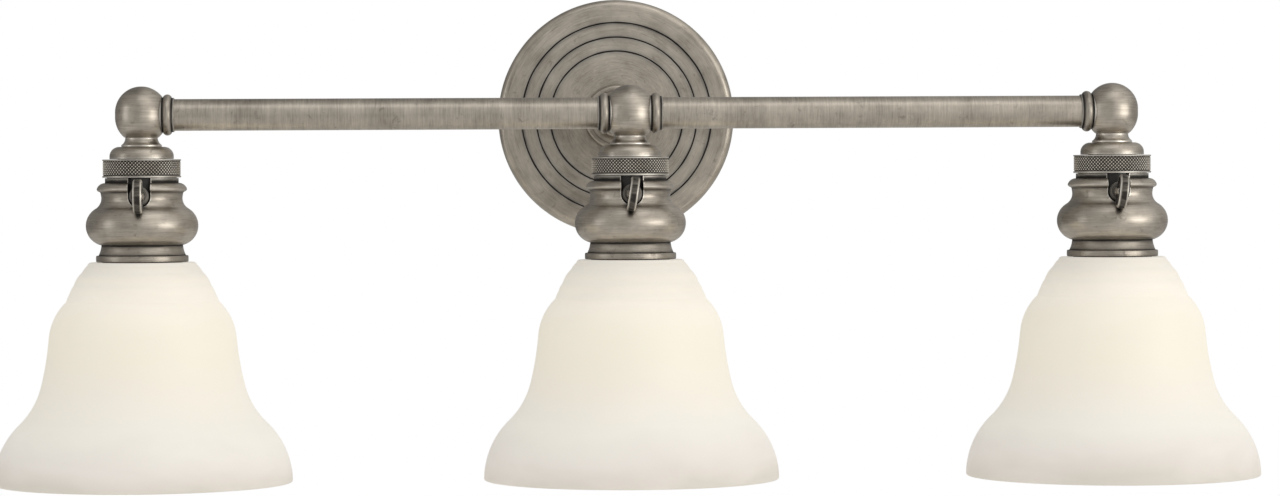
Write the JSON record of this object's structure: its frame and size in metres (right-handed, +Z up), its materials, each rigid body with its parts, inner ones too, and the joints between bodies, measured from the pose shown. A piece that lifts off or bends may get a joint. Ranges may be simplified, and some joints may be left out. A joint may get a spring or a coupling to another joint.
{
  "type": "vanity light bar",
  "caption": "Wall light bar: a round grooved backplate and short arm carry a horizontal tube with ball joints, from which keyed sockets hang bell-shaped opal glass shades.",
  "frame": {"origin": "centre of the crossbar's back face, on the wall, which is also the centre of the backplate's back edge", "axes": "+X along the bar to the right as seen from the room, +Y into the wall (the light faces -Y), +Z up"},
  "size_m": [0.639, 0.2345, 0.2481],
  "materials": {
    "antique_nickel": "brushed, darkened in the creases, satin clear lacquer",
    "zinc_steel": "zinc plated",
    "green_steel": "green dyed",
    "black_phenolic": "moulded, semi gloss",
    "brass": "bright stamped",
    "opal_glass": "etched opal, satin",
    "rubber_gasket": "matt",
    "bulb_metal": "rolled thread, satin",
    "bulb_glass": "frosted",
    "black_insulation": "matt",
    "white_insulation": "matt"
  },
  "bodies": {
    "root": {"backplate": "antique_nickel", "arm_flange": "antique_nickel", "arm_tube": "antique_nickel", "left_bar_tube": "antique_nickel", "right_bar_tube": "antique_nickel", "tube_collars": "antique_nickel", "cap_nuts": "antique_nickel", "crossbar": "zinc_steel", "plate_studs": "zinc_steel", "ground_screw": "green_steel", "arm_nut": "zinc_steel", "arm_nipple": "zinc_steel", "lamp_nipples": "zinc_steel", "live_leads": "black_insulation", "neutral_leads": "white_insulation", "left_ball": "antique_nickel", "left_neck_ring": "antique_nickel", "left_dome_cap": "antique_nickel", "left_carrier_disc": "zinc_steel", "left_socket_body": "black_phenolic", "left_screw_shell": "brass", "left_centre_contact": "brass", "centre_ball": "antique_nickel", "centre_neck_ring": "antique_nickel", "centre_dome_cap": "antique_nickel", "centre_carrier_disc": "zinc_steel", "centre_socket_body": "black_phenolic", "centre_screw_shell": "brass", "centre_centre_contact": "brass", "right_ball": "antique_nickel", "right_neck_ring": "antique_nickel", "right_dome_cap": "antique_nickel", "right_carrier_disc": "zinc_steel", "right_socket_body": "black_phenolic", "right_screw_shell": "brass", "right_centre_contact": "brass"},
    "left_switch": {"left_key": "antique_nickel"},
    "left_coupling": {"left_knurled_ring": "antique_nickel"},
    "left_hood": {"left_shade_holder": "antique_nickel", "left_glass_shade": "opal_glass", "left_shade_gasket": "rubber_gasket", "left_retaining_ring": "antique_nickel"},
    "left_bulb": {"left_bulb_base": "bulb_metal", "left_bulb_glass": "bulb_glass"},
    "centre_switch": {"centre_key": "antique_nickel"},
    "centre_coupling": {"centre_knurled_ring": "antique_nickel"},
    "centre_hood": {"centre_shade_holder": "antique_nickel", "centre_glass_shade": "opal_glass", "centre_shade_gasket": "rubber_gasket", "centre_retaining_ring": "antique_nickel"},
    "centre_bulb": {"centre_bulb_base": "bulb_metal", "centre_bulb_glass": "bulb_glass"},
    "right_switch": {"right_key": "antique_nickel"},
    "right_coupling": {"right_knurled_ring": "antique_nickel"},
    "right_hood": {"right_shade_holder": "antique_nickel", "right_glass_shade": "opal_glass", "right_shade_gasket": "rubber_gasket", "right_retaining_ring": "antique_nickel"},
    "right_bulb": {"right_bulb_base": "bulb_metal", "right_bulb_glass": "bulb_glass"}
  },
  "joints": [
    {"name": "left_key_turn", "type": "hinge", "parent": "root", "child": "left_switch", "pos_m": [-0.245, -0.16, -0.0406], "axis": [0, -1, 0], "continuous": true},
    {"name": "left_ring_turn", "type": "hinge", "parent": "root", "child": "left_coupling", "pos_m": [-0.245, -0.16, -0.027], "axis": [0, 0, 1], "range_deg": [0, 1090]},
    {"name": "left_hood_drop", "type": "slide", "parent": "root", "child": "left_hood", "axis": [0, 0, -1], "range_m": [0, 0.003]},
    {"name": "left_bulb_out", "type": "slide", "parent": "root", "child": "left_bulb", "axis": [0, 0, -1], "range_m": [0, 0.15]},
    {"name": "centre_key_turn", "type": "hinge", "parent": "root", "child": "centre_switch", "pos_m": [0, -0.16, -0.0406], "axis": [0, -1, 0], "continuous": true},
    {"name": "centre_ring_turn", "type": "hinge", "parent": "root", "child": "centre_coupling", "pos_m": [0, -0.16, -0.027], "axis": [0, 0, 1], "range_deg": [0, 1090]},
    {"name": "centre_hood_drop", "type": "slide", "parent": "root", "child": "centre_hood", "axis": [0, 0, -1], "range_m": [0, 0.003]},
    {"name": "centre_bulb_out", "type": "slide", "parent": "root", "child": "centre_bulb", "axis": [0, 0, -1], "range_m": [0, 0.15]},
    {"name": "right_key_turn", "type": "hinge", "parent": "root", "child": "right_switch", "pos_m": [0.245, -0.16, -0.0406], "axis": [0, -1, 0], "continuous": true},
    {"name": "right_ring_turn", "type": "hinge", "parent": "root", "child": "right_coupling", "pos_m": [0.245, -0.16, -0.027], "axis": [0, 0, 1], "range_deg": [0, 1090]},
    {"name": "right_hood_drop", "type": "slide", "parent": "root", "child": "right_hood", "axis": [0, 0, -1], "range_m": [0, 0.003]},
    {"name": "right_bulb_out", "type": "slide", "parent": "root", "child": "right_bulb", "axis": [0, 0, -1], "range_m": [0, 0.15]}
  ],
  "couplings": [
    {"joint": "left_ring_turn", "follows": "left_hood_drop", "rad_per_m": 6283.2},
    {"joint": "centre_ring_turn", "follows": "centre_hood_drop", "rad_per_m": 6283.2},
    {"joint": "right_ring_turn", "follows": "right_hood_drop", "rad_per_m": 6283.2}
  ]
}
